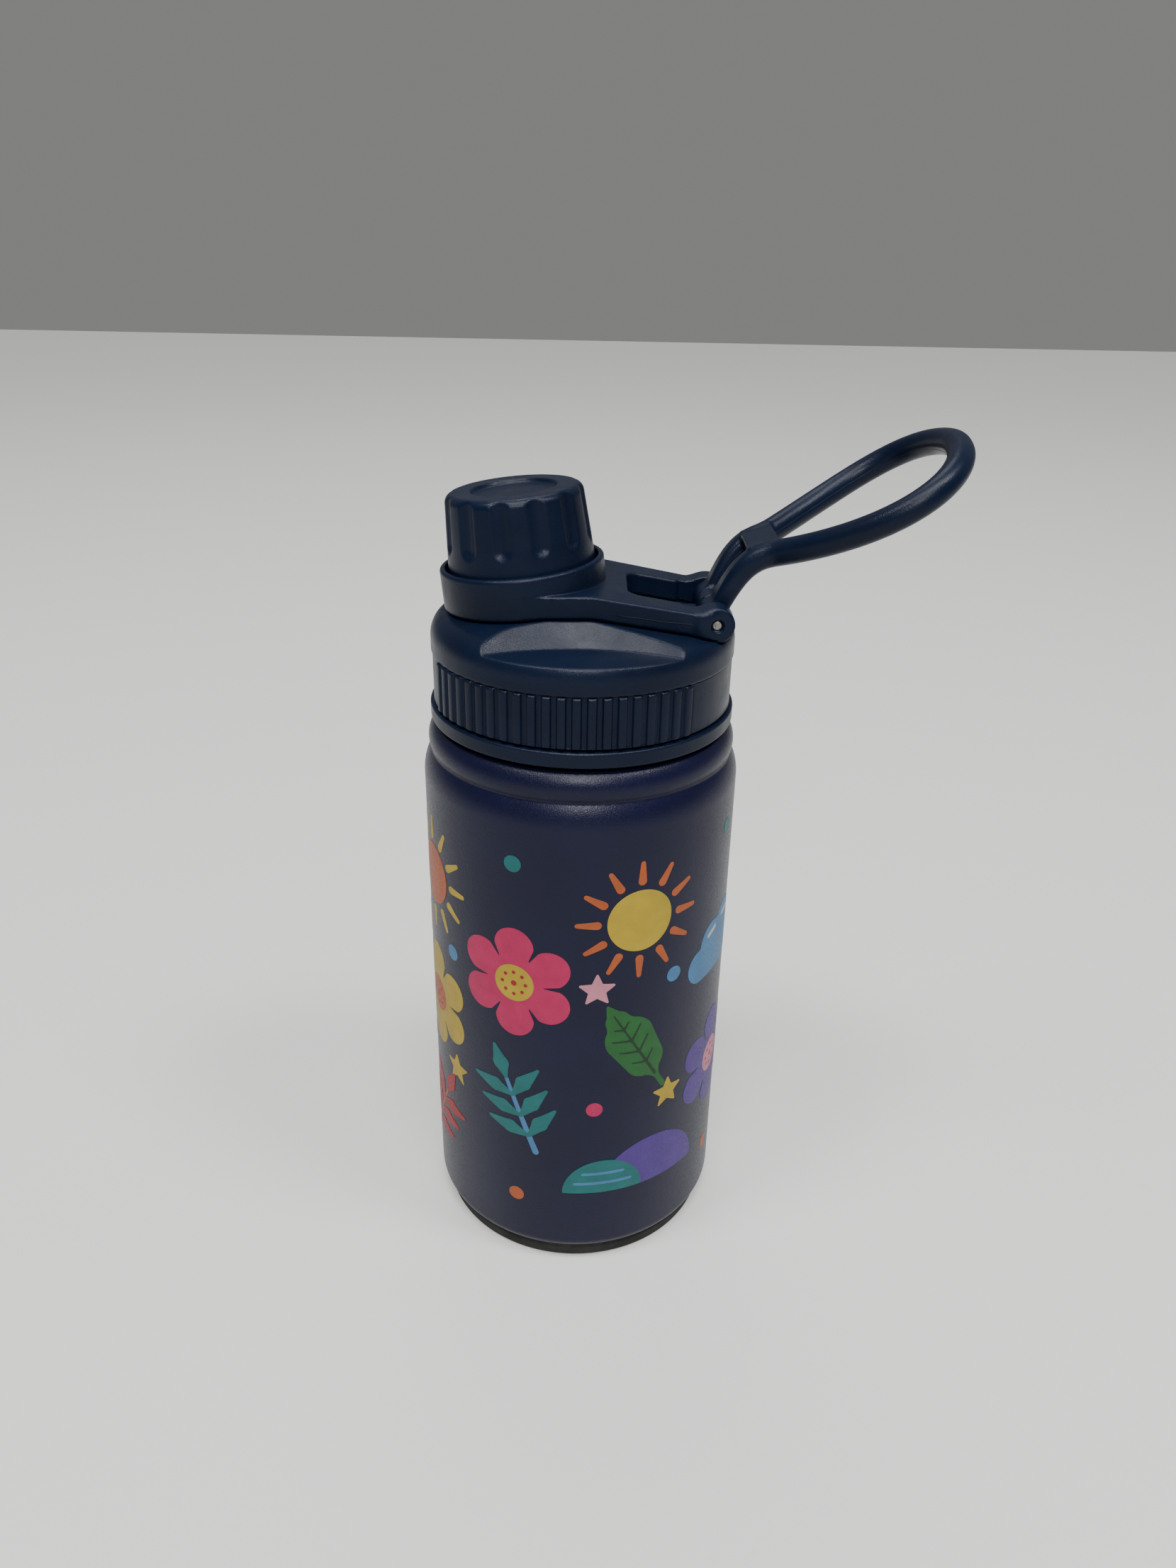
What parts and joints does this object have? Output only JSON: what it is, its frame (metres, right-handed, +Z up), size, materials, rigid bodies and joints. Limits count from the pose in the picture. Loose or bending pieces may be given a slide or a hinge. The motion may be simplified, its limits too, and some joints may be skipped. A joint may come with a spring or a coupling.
{
  "type": "insulated water bottle",
  "caption": "Small insulated bottle with a screw lid, a twist knob tethered over its drinking spout and a hinged teardrop carry loop.",
  "frame": {"origin": "centre of the base pad's underside, on the bottle's axis", "axes": "+Z up along the bottle's axis; +X towards the lid's hinge and carry loop, so the spout and knob lie on the -X side; +Y completes the frame"},
  "size_m": [0.1161, 0.073, 0.1995],
  "materials": {
    "powder_coat": "matt, fine orange-peel",
    "steel": "satin",
    "copper_foil": "bright foil",
    "getter_metal": "sintered",
    "solder": "dull",
    "adhesive": "matt film",
    "pad_rubber": "matt",
    "silicone": "translucent matt",
    "lid_plastic": "fine spark texture",
    "core_plastic": "natural",
    "foam": "cellular"
  },
  "bodies": {
    "bottle": {"outer_shell": "powder_coat", "inner_vessel": "steel", "foil_shield": "copper_foil", "getter": "getter_metal", "base_cap": "steel", "vacuum_seal": "solder", "pad_adhesive": "adhesive", "base_pad": "pad_rubber"},
    "gasket": {"lid_gasket": "silicone"},
    "lid": {"lid_liner": "lid_plastic", "lid_foam": "foam", "lid_shell": "lid_plastic", "spout": "lid_plastic", "spout_gasket": "silicone", "hinge_pin": "steel"},
    "strap": {"tether_strap": "lid_plastic"},
    "knob": {"knob_shell": "lid_plastic", "knob_core": "core_plastic", "knob_gasket": "silicone"},
    "loop": {"carry_loop": "lid_plastic"}
  },
  "joints": [
    {"name": "lid_lift", "type": "slide", "parent": "bottle", "child": "gasket", "axis": [0, 0, 1], "range_m": [0, 0.0051]},
    {"name": "lid_turn", "type": "hinge", "parent": "gasket", "child": "lid", "pos_m": [0, 0, 0.15], "axis": [0, 0, 1], "range_deg": [0, 450]},
    {"name": "strap_swing", "type": "hinge", "parent": "lid", "child": "strap", "pos_m": [0.0283, 0, 0.1611], "axis": [0, 1, 0], "range_deg": [0, 60]},
    {"name": "knob_turn", "type": "hinge", "parent": "strap", "child": "knob", "pos_m": [-0.0127, 0, 0.162], "axis": [-0.1028, 0, 0.9947], "continuous": true},
    {"name": "loop_swing", "type": "hinge", "parent": "lid", "child": "loop", "pos_m": [0.0283, 0, 0.1611], "axis": [0, 1, 0], "range_deg": [-15, 85]}
  ],
  "couplings": [
    {"joint": "lid_lift", "follows": "lid_turn", "m_per_rad": 0.00063662}
  ]
}
